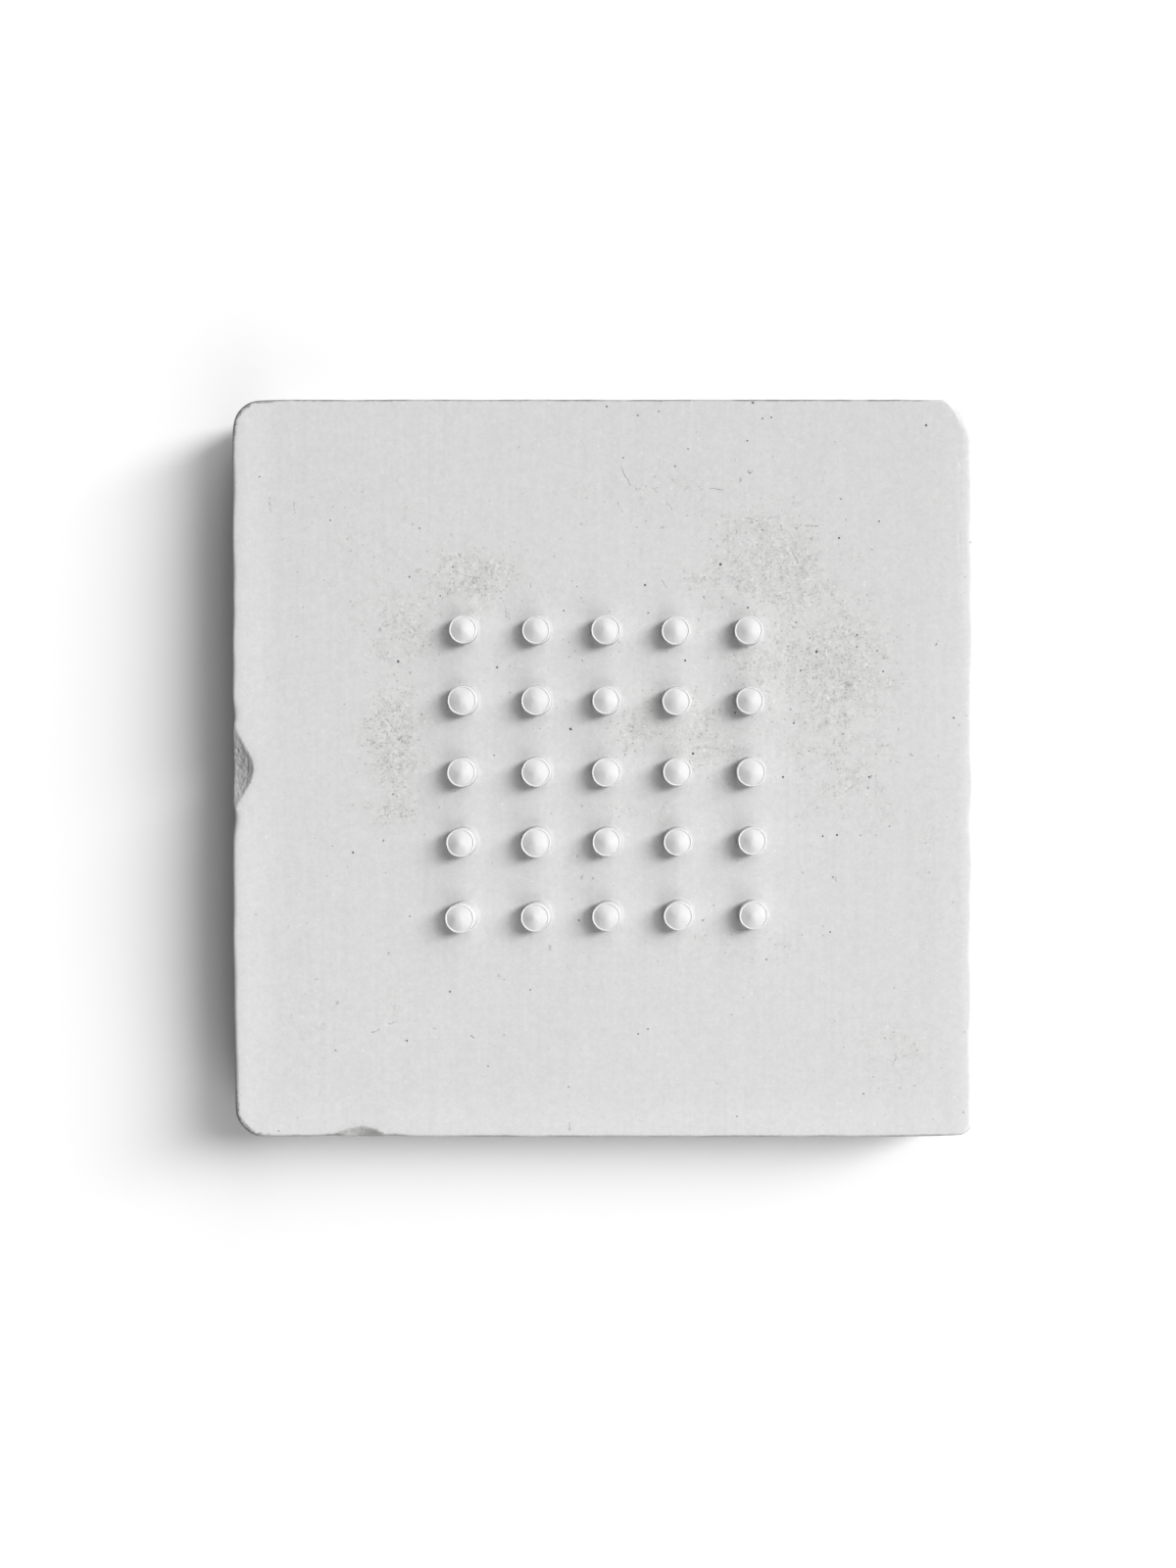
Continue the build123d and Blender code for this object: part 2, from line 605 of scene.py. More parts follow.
def chipForm(number, chip):
    standOut, reach, drop = chip["standOut"], chip["reach"], chip["drop"]
    standUp = (reach ** 2 - drop ** 2 + 2 * standOut * reach) / (2 * drop)  # the tube meets both reaches
    clear = math.hypot(standOut, standUp)
    widest = math.hypot(reach + standOut, standUp) - clear
    edge = Vector((*chip["place"], slab["thickness"]))
    along, outward, up = Vector((*chip["along"], 0)), Vector((*chip["outward"], 0)), Vector((0, 0, 1))
    middle = edge + outward * standOut + up * standUp
    turns = chipTurns(math.atan2(-standUp - drop / 2, -standOut - reach / 2))
    steps, around = chipping["steps"], len(turns)
    points, faces = [], []
    for step in range(steps + 1):
        offset = (step / steps * 2 - 1) * chipping["length"] * chip["spread"]
        swell = math.exp(-(offset / chip["spread"]) ** 2) * (1 - chipping["tail"])
        swell += chipping["tail"] * math.exp(-(offset / chip["spread"] / chipping["tailSpread"]) ** 2)
        for turn in turns:
            spoke = outward * math.cos(turn) + up * math.sin(turn)
            radius = clear + widest * swell
            place = middle + along * offset + spoke * radius
            spot = place / chipping["lump"] + Vector((0, 0, chip["seed"]))
            lump = noise.fractal(spot, *chipping["lumpKind"])
            points.append((place + spoke * lump * chip["rough"] * min(1, swell / chipping["lumpFull"])) * mm)
    rings = [range(step * around, (step + 1) * around) for step in range(steps + 1)]
    for lower, upper in zip(rings, rings[1:]):
        addBand(faces, lower, upper)
    faces += [tuple(rings[0])[::-1], tuple(rings[-1])]
    mesh = newMesh("chipForm%d" % number, points, faces, chipTone=[chip["fresh"]] * len(points))
    form = bmesh.new()
    form.from_mesh(mesh)
    bmesh.ops.recalc_face_normals(form, faces=form.faces)
    form.to_mesh(mesh)
    form.free()
    return mesh


# marks seen one by one, places in px: pinholes by radius in mm, scratches with length in mm and degrees

marks = dict(
    pinholes={
        0.42: [(735, 576), (833, 665), (707, 769), (582, 744), (406, 675)],
        0.32: [(699, 674), (763, 620), (658, 597), (750, 727), (856, 549), (887, 793), (799, 793),
               (854, 852), (945, 434), (507, 681), (360, 870), (415, 1062), (459, 1012)],
        0.23: [(858, 509), (897, 532), (619, 415), (672, 420), (651, 424), (768, 411), (778, 427),
               (787, 426), (702, 458), (689, 476), (636, 467), (874, 660), (895, 664), (812, 635),
               (337, 531), (428, 539), (462, 579), (449, 608), (575, 623), (430, 729), (418, 935),
               (483, 1059), (498, 1088), (580, 1109), (541, 1010), (847, 951), (782, 979),
               (661, 1050), (651, 1055), (881, 1116), (983, 1135), (752, 1139), (717, 939), (850, 895)],
    },
    scratches=[
        ((516, 624), 3.0, 96), ((519, 629), 1.8, 98), ((397, 738), 3.6, 128), ((401, 743), 2.2, 122),
        ((810, 566), 3.8, 118), ((813, 572), 2.2, 112), ((636, 482), 3.4, 112), ((641, 491), 2.4, 122),
        ((633, 518), 2.8, 118), ((682, 515), 3.2, 126), ((668, 500), 2.2, 130), ((731, 499), 3.4, 172),
        ((766, 530), 3.6, 165), ((788, 528), 3.0, 8), ((814, 538), 2.6, 50), ((828, 537), 3.4, 176),
        ((678, 596), 2.4, 122), ((829, 606), 3.0, 20), ((912, 1084), 2.0, 66),
        ((404, 826), 3.6, 24), ((392, 832), 3.0, 18), ((471, 568), 2.4, 130), ((852, 897), 1.6, 86),
        ((865, 806), 2.8, 40), ((383, 1052), 2.6, 20),
        ((400, 1044), 2.4, 16), ((581, 1149), 1.8, 92), ((275, 515), 4.2, 91), ((300, 520), 3.4, 92),
    ],
    holeDepth=1.7,  # times the radius
    nickStep=0.5,  # mm, a scratch is a ragged row of nicks
    nickReach=(0.36, 0.11, 0.045),
    nickSway=0.3,
    nickTurn=0.6,  # radians
    nickSpread=0.8,
    nickStride=0.7,  # how far the noise moves on from nick to nick
    scratchShade=0.82,  # share of a pinhole's painted shade
    seed=5,
)


def markPlaces():
    noise.seed_set(marks["seed"])  # noise_vector starts from the clock otherwise
    places, reaches, turns, tones = [], [], [], []
    for radius, holes in marks["pinholes"].items():
        for hole in holes:
            places.append(facePoint(hole))
            reaches.append((radius, radius, radius * marks["holeDepth"]))
            turns.append(0.0)
            tones.append(1.0)
    for place, length, turn in marks["scratches"]:
        middle = Vector(facePoint(place))
        way = Vector((math.cos(math.radians(turn)), math.sin(math.radians(turn))))
        for step in range(round(length / marks["nickStep"])):
            along = (step + 0.5) * marks["nickStep"] - length / 2
            spot = middle + way * along
            chance = noise.noise_vector(Vector((*spot, step * marks["nickStride"])))
            spot += way.orthogonal() * marks["nickSway"] * chance.x
            places.append(tuple(spot))
            size = 1 + marks["nickSpread"] * chance.y
            reaches.append(tuple(reach * size for reach in marks["nickReach"]))
            turns.append(math.radians(turn) + marks["nickTurn"] * chance.z)
            tones.append(marks["scratchShade"])
    points = [Vector((x, y, slab["thickness"])) * mm for x, y in places]
    return newMesh("markPlaces", points, reach=np.array(reaches) * mm, turn=turns, markTone=tones)


# geometry nodes: stand the studs, cut the chips, pinholes and scratches, unite, soften the lips

casting = {
    "Lean": math.radians(studField["lean"]),
    "Lean Toward": math.radians(studField["leanToward"]),
    "Lean Spread": math.radians(1.6),
    "Turn Spread": 0.6,
    "Width Spread": 0.03,
    "Height Spread": 0.05,
    "Stud Uneven": 0.26 * mm,
    "Stud Lump": 2.4 * mm,
    "Pinhole Gap": 2.6 * mm,
    "Pinhole Density": 8000.0,  # per square metre where the stain is full
    "Pinhole Small": 0.10 * mm,
    "Pinhole Large": 0.27 * mm,
    "Pinhole Depth": marks["holeDepth"],
    "Pinhole Margin": 3.0 * mm,  # none on the face's rounded edge
    "Scratch Gap": 3.0 * mm,
    "Scratch Density": 6000.0,
    "Scratch Short": 0.3 * mm,  # half lengths
    "Scratch Long": 1.0 * mm,
    "Scratch Width": 0.07 * mm,
    "Scratch Depth": 0.03 * mm,
    "Relief": 0.12 * mm,
    "Relief Size": 26.0 * mm,
    "Seed": 4,
}
castLimits = dict(
    backFade=(0.5 * mm, 3.0 * mm),  # height over which the relief comes in
    upright=0.95,  # how squarely a flat face points up
    holesFrom=(-0.3, 1.0),  # stain over which pinholes come in
    hairsFrom=(0.12, 1.0),
    smaller=2.5,  # power that keeps most pinholes small
    beadSteps=2,
    freshFrom=0.1,  # chip tone that counts as broken
    lumpDetail=2.0,
)
sharpening = dict(angle=math.radians(38.0))
cleaning = dict(dist=3e-7)  # m, shorter edges are dissolved


def castingTree(material, blank, form, marked, cutters):
    tree = bpy.data.node_groups.new("castTile", "GeometryNodeTree")
    openSocket(tree, "Geometry", "Geometry")
    for name, value in casting.items():
        openSocket(tree, name, "Int" if isinstance(value, int) else "Float")
    openSocket(tree, "Geometry", "Geometry", output=True)
    given = tree.nodes.new("NodeGroupInput").outputs
    position = addNode(tree, "GeometryNodeInputPosition").outputs[0]
    normal = addNode(tree, "GeometryNodeInputNormal").outputs[0]
    height = axesOf(position)["Z"]
    faceHeight = slab["thickness"] * mm
    up = (0, 0, 1)

    def made(kind, values, **settings):
        return addNode(tree, kind, values, **settings).outputs[0]

    def seeded(offset):
        return plus(given["Seed"], float(offset))

    def randomIn(low, high, offset):
        values = {2: low, 3: high, 8: seeded(offset)}
        return addNode(tree, "FunctionNodeRandomValue", values, data_type="FLOAT").outputs[1]

    def spreadIn(spread, offset, middle=0.0):
        return randomIn(minus(middle, spread), plus(middle, spread), offset)

    def source(thing):
        return addNode(tree, "GeometryNodeObjectInfo", {"Object": thing}).outputs["Geometry"]

    def attribute(name, kind="FLOAT"):
        return made("GeometryNodeInputNamedAttribute", {"Name": name}, data_type=kind)

    def turnAbout(axis, angle):
        return made("FunctionNodeAxisAngleToRotation", {"Axis": axis, "Angle": angle})

    def joinAxes(x, y, z=0.0):
        return made("ShaderNodeCombineXYZ", {"X": x, "Y": y, "Z": z})

    def lumpy(size):
        values = {"Vector": position, "Detail": castLimits["lumpDetail"]}
        values["Scale"] = maths("DIVIDE", 1.0, size)
        return addNode(tree, "ShaderNodeTexNoise", values).outputs

    def moved(geometry, offset):
        return made("GeometryNodeSetPosition", {"Geometry": geometry, "Offset": offset})

    def stored(geometry, name, value):
        values = {"Geometry": geometry, "Name": name, "Value": value}
        return made("GeometryNodeStoreNamedAttribute", values, data_type="FLOAT")

    def blurred(value, passes):
        return made("GeometryNodeBlurAttribute", {"Value": value, "Iterations": passes})

    def stand(points, instance, **values):
        inputs = {"Points": points, "Instance": instance, **values}
        placed = made("GeometryNodeInstanceOnPoints", inputs)
        return made("GeometryNodeRealizeInstances", {"Geometry": placed})

    def scatter(mesh, kind, share, offset):
        values = {"Mesh": mesh, "Density Factor": share, "Seed": seeded(offset)}
        values["Distance Min"] = given[kind + " Gap"]
        values["Density Max"] = given[kind + " Density"]
        return made("GeometryNodeDistributePointsOnFaces", values, distribute_method="POISSON")

    # studs, each leaning a little its own way
    toward = plus(given["Lean Toward"], spreadIn(given["Turn Spread"], 2))
    lean = plus(given["Lean"], spreadIn(given["Lean Spread"], 1))
    axis = joinAxes(times(maths("SINE", toward), -1.0), maths("COSINE", toward))
    turns = {"Rotation": turnAbout(axis, lean), "Rotate By": turnAbout(up, randomIn(0.0, math.tau, 3))}
    turned = made("FunctionNodeRotateRotation", turns, rotation_space="LOCAL")
    width = times(attribute("width"), spreadIn(given["Width Spread"], 4, 1.0))
    size = joinAxes(width, width, spreadIn(given["Height Spread"], 5, 1.0))
    studs = stand(given["Geometry"], source(form), Rotation=turned, Scale=size)
    way = joinAxes(maths("COSINE", given["Lean Toward"]), maths("SINE", given["Lean Toward"]))
    above = minus(height, faceHeight)
    studs = moved(studs, scaled(way, times(above, attribute("slant"))))
    shove = vectorMaths("SUBTRACT", lumpy(given["Stud Lump"])["Color"], (0.5, 0.5, 0.5))
    studs = moved(studs, scaled(shove, given["Stud Uneven"]))

    # low relief of the blank, none on the back
    swell = times(centred(lumpy(given["Relief Size"])["Fac"]), given["Relief"])
    swell = times(swell, ramp(height, *castLimits["backFade"]))
    body = moved(source(blank), scaled(normal, swell))

    # pinholes and hair scratches, thickest where the plaster is stained
    stained = attribute("stain")
    beadSize = {"Radius": 1.0, "Subdivisions": castLimits["beadSteps"]}
    bead = made("GeometryNodeMeshIcoSphere", beadSize)
    flat = maths("GREATER_THAN", axesOf(normal)["Z"], castLimits["upright"])
    lower = minus(faceHeight, given["Pinhole Margin"])
    clearOfEdge = largest(flat, maths("LESS_THAN", height, lower))
    likely = times(ramp(stained, *castLimits["holesFrom"]), clearOfEdge)
    reach = minus(given["Pinhole Large"], given["Pinhole Small"])
    radius = times(maths("POWER", randomIn(0.0, 1.0, 6), castLimits["smaller"]), reach)
    radius = plus(radius, given["Pinhole Small"])
    holeSize = joinAxes(radius, radius, times(radius, given["Pinhole Depth"]))
    holes = stand(scatter(body, "Pinhole", likely, 0), stored(bead, "markTone", 1.0), Scale=holeSize)
    rough = times(ramp(stained, *castLimits["hairsFrom"]), flat)
    length = randomIn(given["Scratch Short"], given["Scratch Long"], 8)
    hairSize = joinAxes(length, given["Scratch Width"], given["Scratch Depth"])
    hairTurn = turnAbout(up, randomIn(0.0, math.pi, 9))
    hair = stored(bead, "markTone", marks["scratchShade"])
    hairs = stand(scatter(body, "Scratch", rough, 7), hair, Scale=hairSize, Rotation=hairTurn)
    markTurn = turnAbout(up, attribute("turn"))
    seen = stand(source(marked), bead, Scale=attribute("reach", "FLOAT_VECTOR"), Rotation=markTurn)

    # cut, unite, then smooth the broken lips
    cut = addNode(tree, "GeometryNodeMeshBoolean", operation="DIFFERENCE", solver="MANIFOLD")
    tree.links.new(body, cut.inputs["Mesh 1"])
    for cutter in [source(thing) for thing in cutters] + [holes, hairs, seen]:
        tree.links.new(cutter, cut.inputs["Mesh 2"])
    united = addNode(tree, "GeometryNodeMeshBoolean", operation="UNION", solver="MANIFOLD")
    for solid in (cut.outputs["Mesh"], studs):
        tree.links.new(solid, united.inputs["Mesh 2"])
    passes = chipping["lipPasses"]
    near = blurred(maths("GREATER_THAN", attribute("chipTone"), castLimits["freshFrom"]), passes)
    lip = times(near, minus(1.0, near), 4.0)  # 1 half way over the lip
    eased = addNode(tree, "GeometryNodeBlurAttribute", data_type="FLOAT_VECTOR")
    for name, value in (("Value", position), ("Iterations", passes), ("Weight", lip)):
        setInput([s for s in eased.inputs if s.name == name and s.enabled][0], value)
    easedPlace = [s for s in eased.outputs if s.enabled][0]
    broken = blurred(attribute("chipTone"), chipping["tonePasses"])
    toned = stored(united.outputs["Mesh"], "chipTone", broken)
    smooth = made("GeometryNodeSetPosition", {"Geometry": toned, "Position": easedPlace})
    whole = made("GeometryNodeRealizeInstances", {"Geometry": smooth})
    painted = made("GeometryNodeSetMaterial", {"Geometry": whole, "Material": material})
    addNode(tree, "NodeGroupOutput", {"Geometry": painted})
    return tree


def shellsOf(form):
    shells, met = [], set()
    for first in form.verts:
        if first in met:
            continue
        met.add(first)
        shell = [first]
        for vert in shell:  # grows as it is walked
            for edge in vert.link_edges:
                other = edge.other_vert(vert)
                if other not in met:
                    met.add(other)
                    shell.append(other)
        shells.append(shell)
    return sorted(shells, key=len)


def cleanCast(mesh):
    form = bmesh.new()
    form.from_mesh(mesh)
    for crumb in shellsOf(form)[:-1]:
        bmesh.ops.delete(form, geom=crumb, context="VERTS")
    bmesh.ops.triangulate(form, faces=form.faces)
    bmesh.ops.dissolve_degenerate(form, edges=form.edges, **cleaning)
    form.to_mesh(mesh)
    form.free()


def castTile(material):
    blank = addThing("slabBlank", slabBlank())
    print("slab blank: %d faces" % len(blank.data.polygons))
    form = addThing("studForm", studForm())
    cutters = [addThing("chip%d" % n, chipForm(n, chip)) for n, chip in enumerate(chips)]
    marked = addThing("markPlaces", markPlaces())
    places = addThing("studPlaces", studPlaces())
    tree = castingTree(material, blank, form, marked, cutters)
    modifier = places.modifiers.new("casting", "NODES")
    modifier.node_group = tree
    for item in tree.interface.items_tree:
        if item.in_out == "INPUT" and item.name in casting:
            modifier[item.identifier] = casting[item.name]
    graph = bpy.context.evaluated_depsgraph_get()
    mesh = bpy.data.meshes.new_from_object(places.evaluated_get(graph))
    mesh.name = "plasterTile"
    cleanCast(mesh)
    for thing in [places, blank, form, marked] + cutters:
        bpy.data.objects.remove(thing)
    tile = addThing("plasterTile", mesh)
    mesh.shade_smooth()
    mesh.set_sharp_from_angle(**sharpening)
    mesh.calc_loop_triangles()
    print("cast tile: %d triangles" % len(mesh.loop_triangles))
    return tile


# plaster: shader groups put out masks and heights, the material mixes them

plaster = dict(
    tone=(0.700, 0.700, 0.699, 1.0),
    stainTone=(0.650, 0.649, 0.640, 1.0),
    headTone=(0.768, 0.768, 0.768, 1.0),
    # painted shade on the studs' sides, darker than the face
    shankShadeTone=(0.57, 0.57, 0.567, 1.0),
    # painted highlight: a pale line round each head's rim
    rimHighlightTone=(0.83, 0.83, 0.83, 1.0),
    chipTone=(0.52, 0.52, 0.515, 1.0),
    # painted shade inside the pinholes and scratches
    markTone=(0.42, 0.418, 0.41, 1.0),
    # a darker line along the top and bottom edges and into the left corners
    edgeLineTone=(0.30, 0.30, 0.295, 1.0),
    mottle=0.12,  # shares of the tone from here on
    streak=0.08,
    crumb=0.30,
    stainCrumb=0.75,
    # painted light: paler bands in along the left, right and bottom edges
    edgeLightBand=0.04,
    # painted light: the face lighter towards the bottom, darker towards the top
    lightToBottom=0.03,
    darkSpeck=0.29,
    lightSpeck=0.12,
    hair=0.2,
    # dirt and painted shade round each stud's foot
    footShadeShare=0.07,
    headPlain=0.7,  # how much of all these the heads lose
    roughness=(-0.2, 0.2, 0.84, 0.96),  # over the clouds
    specular=0.25,
    grainHeight=0.012,  # mm
    wrinkleHeight=0.07,
    backHeight=0.06,
)


def openGroup(name, **inputs):
    tree = bpy.data.node_groups.new(name, "ShaderNodeTree")
    for socket, kind in inputs.items():
        openSocket(tree, socket, kind)
    return tree, tree.nodes.new("NodeGroupInput").outputs


def closeGroup(tree, results):
    for name in results:
        openSocket(tree, name, "Float", output=True)
    addNode(tree, "NodeGroupOutput", results)
    return tree


def stretched(vector, sizes):
    return vectorMaths("MULTIPLY", vector, tuple(1.0 / size for size in sizes))


mottling = dict(  # sizes in mm
    broad=dict(size=42.0, detail=4.0, rough=0.55),
    close=dict(size=6.0, detail=5.0, rough=0.62, warp=0.4),
    share=0.5,  # of each in the clouds
    comb=(1.5, 60.0, 6.0),  # across, along and deep
    combed=dict(size=1.0, detail=3.0, rough=0.6),
    crumb=dict(size=1.6, detail=3.0, rough=0.95, warp=0.3),
    grain=dict(size=0.55, detail=3.0, rough=0.6),
)


def mottleGroup():
    tree, given = openGroup("plasterMottle", Vector="Vector")
    place = given["Vector"]
    broad = times(noiseAt(place, **mottling["broad"]), mottling["share"])
    close = times(noiseAt(place, **mottling["close"]), mottling["share"])
    combed = noiseAt(stretched(place, mottling["comb"]), **mottling["combed"])
    return closeGroup(tree, {
        "Cloud": centred(plus(broad, close)),
        "Streak": centred(combed),
        "Crumb": centred(noiseAt(place, **mottling["crumb"])),
        "Grain": noiseAt(place, **mottling["grain"]),
    })


blotting = dict(  # sizes in mm, pairs and fours with no note are ramps
    blot=dict(size=8.0, detail=7.0, rough=0.72, warp=0.8),
    blotPull=2.6,
    edge=(0.2, 1.3),
    outside=(0.0, 0.3, 0.2, 1.0),
    speckBy=(0.65, 0.35),  # stain and zone, in how thick the specks lie
    speckBend=dict(scale=0.9, detail=2.0, reach=0.5),
    dark=dict(gap=0.8, least=0.008, most=0.7),  # share of the specks where clean, where stained
    light=dict(gap=0.9, least=0.02, most=0.6),
    lightShift=(17.0, 41.0, 5.0),
    speckRadius=(0.2, 0.5),  # of the gap
    speckRim=(1.0, 0.6),  # of the radius
    speckDepth=(0.35, 1.0),  # faintest and strongest
    hairBend=dict(scale=0.22, detail=3.0, reach=7.0),
    hairScale=0.2,
    hairWidth=(0.05, 0.012),
    hairGaps=dict(size=3.5, detail=2.0),
    hairGate=(0.54, 0.62),
    hairFrom=(0.05, 0.6),
    crease=dict(size=1.8, detail=4.0, rough=0.65, warp=1.2),
    creaseFrom=(0.0, 0.9, 0.2, 1.0),
)


def bentBy(place, scale, detail, reach):
    values = {"Vector": place, "Scale": scale, "Detail": detail}
    swirl = addNode(place.id_data, "ShaderNodeTexNoise", values).outputs["Color"]
    return vectorMaths("ADD", place, scaled(swirl, reach))


def speckDots(place, share, gap, least, most):
    tree = place.id_data
    cells = addNode(tree, "ShaderNodeTexVoronoi", {"Vector": place, "Scale": 1.0 / gap})
    chance = addNode(tree, "ShaderNodeSeparateColor", {0: cells.outputs["Color"]}).outputs
    kept = maths("GREATER_THAN", chance["Red"], ramp(share, 0.0, 1.0, 1.0 - least, 1.0 - most))
    radius = ramp(chance["Green"], 0.0, 1.0, *blotting["speckRadius"])
    inside = ramp(maths("DIVIDE", cells.outputs["Distance"], radius), *blotting["speckRim"])
    return times(inside, kept, ramp(chance["Blue"], 0.0, 1.0, *blotting["speckDepth"]))


def stainGroup():
    b = blotting
    tree, given = openGroup("plasterStain", Vector="Vector", Zone="Float")
    place, zone = given["Vector"], given["Zone"]
    blot = centred(noiseAt(place, **b["blot"]))
    stain = ramp(plus(zone, times(blot, b["blotPull"])), *b["edge"])
    stain = times(stain, ramp(zone, *b["outside"]))
    byStain, byZone = b["speckBy"]
    share = plus(times(stain, byStain), times(zone, byZone))
    bent = bentBy(place, **b["speckBend"])
    shifted = vectorMaths("ADD", bent, b["lightShift"])
    cells = {"Vector": bentBy(place, **b["hairBend"]), "Scale": b["hairScale"]}
    seams = addNode(tree, "ShaderNodeTexVoronoi", cells, feature="DISTANCE_TO_EDGE")
    line = ramp(seams.outputs["Distance"], *b["hairWidth"])
    gate = ramp(noiseAt(place, **b["hairGaps"]), *b["hairGate"])
    crease = noiseAt(place, **b["crease"])
    return closeGroup(tree, {
        "Stain": stain,
        "Dark Speck": speckDots(bent, share, **b["dark"]),
        "Light Speck": speckDots(shifted, share, **b["light"]),
        "Hair": times(line, gate, ramp(share, *b["hairFrom"])),
        "Wrinkle": times(crease, ramp(share, *b["creaseFrom"])),
    })


edging = dict(  # mm, the ramps of bands, edgeSpan, topEnd and corners run in from an edge
    fray=dict(size=16.0, detail=4.0, rough=0.6),
    frayReach=7.0,
    bands=(  # bands of painted light: axis, edge, ramp, strength
        ("X", -halfX, (15.0, 3.0), 1.7),
        ("X", halfX, (14.0, 3.0), 0.7),
        ("Y", -halfY, (14.0, 3.0), 1.0),
    ),
    edgeSpan=(3.0, 1.5),  # along the top and the bottom
    topEnd=(10.0, 16.0),  # none at the worn corner
    lowShare=0.75,
    cornerX=(14.0, 6.0),  # the dark edge line is strongest at the left corners
    cornerY=(18.0, 7.0),
    breaks=dict(size=1.0, detail=4.0, rough=0.65),
    breakSize=(11.0, 3.0, 4.0),
    breakFrom=(0.38, 0.56, 0.4, 1.0),
    cornerFill=0.85,
    rag=dict(size=1.3, detail=4.0, rough=0.75),
    ragReach=(0.9, 3.4),  # along an edge, at a corner
    cornerReach=0.4,
    line=(0.8, 0.2),
    wall=(-0.9, 0.0),  # it ends down the wall
    back=(0.4, 0.1),
)


def edgeGroup():
    e = edging
    tree, given = openGroup("plasterEdge", Vector="Vector", Inset="Float")
    place = given["Vector"]
    parts = axesOf(place)

    def inFrom(value, edge, span):
        return ramp(value, *(edge - math.copysign(reach, edge) for reach in span))

    fray = times(centred(noiseAt(place, **e["fray"])), e["frayReach"])
    bands = []
    for axis, edge, span, strength in e["bands"]:
        bands.append(times(inFrom(plus(parts[axis], fray), edge, span), strength))
    top = times(inFrom(parts["Y"], halfY, e["edgeSpan"]), inFrom(parts["X"], halfX, e["topEnd"]))
    low = times(inFrom(parts["Y"], -halfY, e["edgeSpan"]), e["lowShare"])
    fromMiddle = maths("ABSOLUTE", parts["Y"])
    corner = times(inFrom(parts["X"], -halfX, e["cornerX"]), inFrom(fromMiddle, halfY, e["cornerY"]))
    breaks = noiseAt(stretched(place, e["breakSize"]), **e["breaks"])
    filled = ramp(corner, 0.0, 1.0, 0.0, e["cornerFill"])
    gaps = largest(ramp(breaks, *e["breakFrom"]), filled)
    rag = centred(noiseAt(place, **e["rag"]))
    reach = times(rag, ramp(corner, 0.0, 1.0, *e["ragReach"]))
    inset = minus(plus(given["Inset"], reach), times(corner, e["cornerReach"]))
    line = times(ramp(inset, *e["line"]), ramp(given["Inset"], *e["wall"]))
    return closeGroup(tree, {
        "Light Band": largest(*bands),
        "Light To Bottom": maths("DIVIDE", parts["Y"], -halfY),
        "Edge Line": times(largest(top, low, corner), line, gaps),
        "Back": ramp(parts["Z"], *e["back"]),
    })


def blend(amount, first, second):
    values = {0: amount, 6: first, 7: second}
    return addNode(amount.id_data, "ShaderNodeMix", values, data_type="RGBA").outputs[2]


def plasterMaterial():
    material = bpy.data.materials.new("castPlaster")
    material.use_nodes = True
    tree = material.node_tree
    shader = tree.nodes["Principled BSDF"]
    place = scaled(addNode(tree, "ShaderNodeTexCoord").outputs["Object"], 1.0 / mm)

    def group(made, **values):
        return addNode(tree, "ShaderNodeGroup", values, node_tree=made).outputs

    def attribute(name):
        return addNode(tree, "ShaderNodeAttribute", attribute_name=name).outputs["Fac"]

    def share(value, name):
        return times(value, plaster[name])

    mottle = group(mottleGroup(), Vector=place)
    stain = group(stainGroup(), Vector=place, Zone=attribute("stain"))
    edge = group(edgeGroup(), Vector=place, Inset=attribute("edgeInset"))
    tone = attribute("headTone")
    head = largest(tone, 0.0)
    coats = {
        "stainTone": stain["Stain"],
        "chipTone": attribute("chipTone"),
        "markTone": attribute("markTone"),
        "headTone": head,
        "shankShadeTone": maths("MULTIPLY", tone, -1.0, clamp=True),
        "rimHighlightTone": attribute("rimWear"),
        "edgeLineTone": edge["Edge Line"],
    }
    colour = plaster["tone"]
    for name, amount in coats.items():  # each over the one before
        colour = blend(amount, colour, plaster[name])
    crumb = plus(plaster["crumb"], share(stain["Stain"], "stainCrumb"))
    shade = plus(
        share(mottle["Cloud"], "mottle"), share(mottle["Streak"], "streak"),
        share(edge["Light Band"], "edgeLightBand"), share(edge["Light To Bottom"], "lightToBottom"),
        times(mottle["Crumb"], crumb), share(stain["Light Speck"], "lightSpeck"),
    )
    darker = {"darkSpeck": stain["Dark Speck"], "hair": stain["Hair"], "footShadeShare": attribute("footDirtAndShade")}
    for name, amount in darker.items():
        shade = minus(shade, share(amount, name))
    plain = minus(1.0, share(head, "headPlain"))
    shade = plus(1.0, times(shade, plain))
    setInput(shader.inputs["Base Color"], scaled(colour, shade))
    setInput(shader.inputs["Roughness"], ramp(mottle["Cloud"], *plaster["roughness"]))
    shader.inputs["Specular IOR Level"].default_value = plaster["specular"]
    drag = times(mottle["Streak"], edge["Back"])
    heights = plus(
        share(mottle["Grain"], "grainHeight"), share(stain["Wrinkle"], "wrinkleHeight"),
        share(drag, "backHeight"),
    )
    bump = addNode(tree, "ShaderNodeBump", {"Height": heights, "Distance": mm})
    setInput(shader.inputs["Normal"], bump.outputs["Normal"])
    return material


tile = castTile(plasterMaterial())
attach(tile, "root")
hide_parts("plaster_tile")


# floor, light and camera

studio = dict(
    floorSize=6.0,  # m
    floorTone=0.28,  # what the tile sees
    floorView=1.07,  # what the camera sees, just past white
    keyAzimuth=21.5,  # degrees from +X towards +Y
    keyElevation=40.0,
    keyDistance=14.0,  # m
    keyWide=4.4,  # m
    keyTall=12.4,
    keyPower=1712.0,  # W
    worldTop=0.24,  # fill from straight above
    topFrom=(0.6, 0.95),
    side=(-0.05, 0.25),  # fill from the key's side comes in over this
    lobes=(0.2, 0.7, 0.2, 1.75),  # weak near the key, strong to either hand of it
)


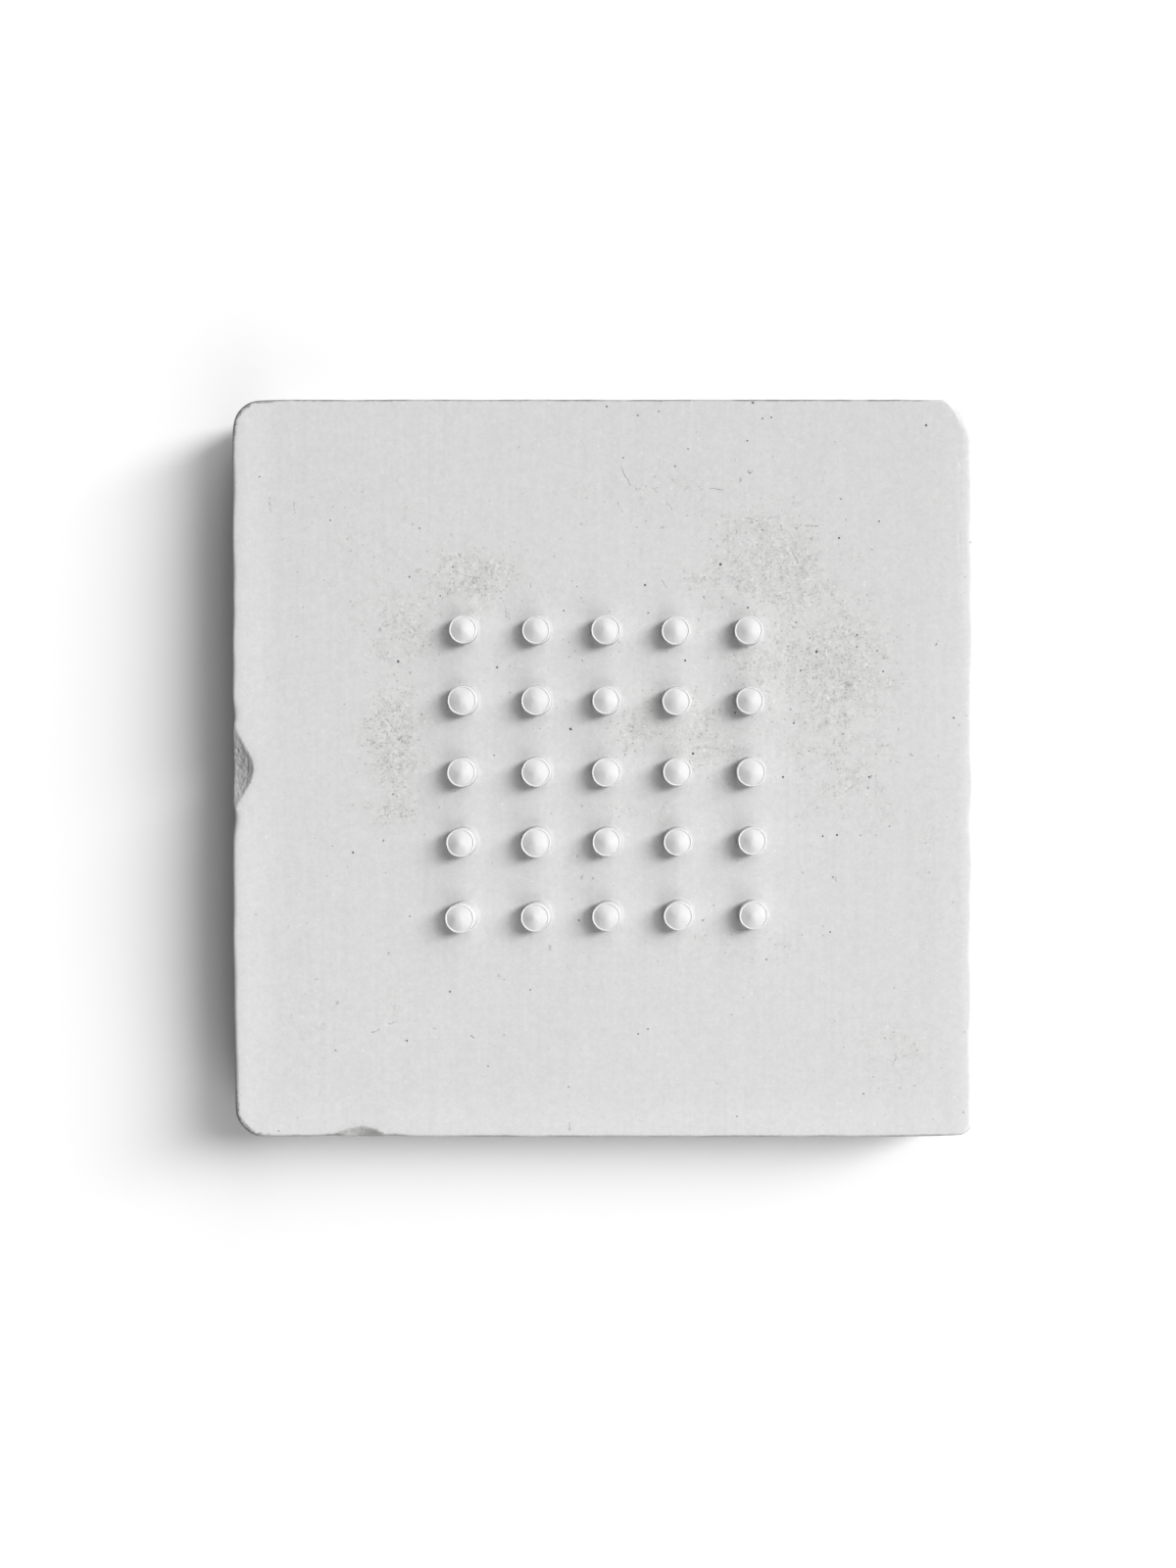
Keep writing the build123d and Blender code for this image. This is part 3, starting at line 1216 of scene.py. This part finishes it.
def cameraRays(tree):
    rays = addNode(tree, "ShaderNodeLightPath").outputs
    return largest(rays["Is Camera Ray"], rays["Is Glossy Ray"], rays["Is Transmission Ray"])


def showMixed(tree, ending, met, viewed):
    mixed = addNode(tree, "ShaderNodeMixShader", {0: cameraRays(tree), 1: met, 2: viewed}).outputs[0]
    setInput(tree.nodes[ending].inputs["Surface"], mixed)


def studioFloor():
    size = studio["floorSize"] / 2
    corners = [(-size, -size, 0), (size, -size, 0), (size, size, 0), (-size, size, 0)]
    mesh = newMesh("floor", corners, [(0, 1, 2, 3)])
    floor = addThing("floor", mesh)
    material = bpy.data.materials.new("paleFloor")
    material.use_nodes = True
    tree = material.node_tree
    tree.nodes.remove(tree.nodes["Principled BSDF"])
    coats = []
    for tone in (studio["floorTone"], studio["floorView"]):
        coats.append(addNode(tree, "ShaderNodeBsdfDiffuse", {"Color": (tone, tone, tone, 1)}).outputs[0])
    showMixed(tree, "Material Output", *coats)
    mesh.materials.append(material)


def keyLight():
    turn = math.radians(studio["keyAzimuth"])
    rise = math.radians(studio["keyElevation"])
    away = Vector((math.cos(rise) * math.cos(turn), math.cos(rise) * math.sin(turn), math.sin(rise)))
    lamp = bpy.data.lights.new("keyLight", "AREA")
    lamp.shape = "ELLIPSE"
    lamp.size = studio["keyWide"]
    lamp.size_y = studio["keyTall"]
    lamp.energy = studio["keyPower"]
    key = addThing("keyLight", lamp)
    key.location = away * studio["keyDistance"] + Vector((0, 0, slab["thickness"] * mm))
    key.rotation_euler = away.to_track_quat("Z", "Y").to_euler()


def fillLight():
    world = bpy.data.worlds.new("studio")
    bpy.context.scene.world = world
    world.use_nodes = True
    tree = world.node_tree
    glow = tree.nodes["Background"]
    way = axesOf(addNode(tree, "ShaderNodeTexCoord").outputs["Generated"])
    above = times(ramp(way["Z"], *studio["topFrom"]), studio["worldTop"])
    lobes = ramp(maths("ABSOLUTE", way["Y"]), *studio["lobes"])
    beside = times(ramp(way["X"], *studio["side"]), lobes)
    setInput(glow.inputs["Color"], plus(above, beside))
    white = addNode(tree, "ShaderNodeBackground", {"Color": (1, 1, 1, 1)}).outputs[0]
    showMixed(tree, "World Output", glow.outputs[0], white)


def photoCamera():
    lens = bpy.data.cameras.new("camera")
    scale = view["tileSide"] / (tileHigh[0] - tileLow[0])  # px per m on the face
    lens.sensor_width = view["sensor"]
    lens.lens = lens.sensor_width * view["distance"] * scale / view["imageHeight"]
    camera = addThing("camera", lens)
    camera.location = (
        (view["imageMiddle"][0] - view["tileMiddle"][0]) / scale,
        (view["tileMiddle"][1] - view["imageMiddle"][1]) / scale,
        slab["thickness"] * mm + view["distance"],
    )
    bpy.context.scene.camera = camera


studioFloor()
keyLight()
fillLight()
photoCamera()
bpy.context.scene.view_settings.view_transform = "Standard"
print("studio: floor, lights and camera set")
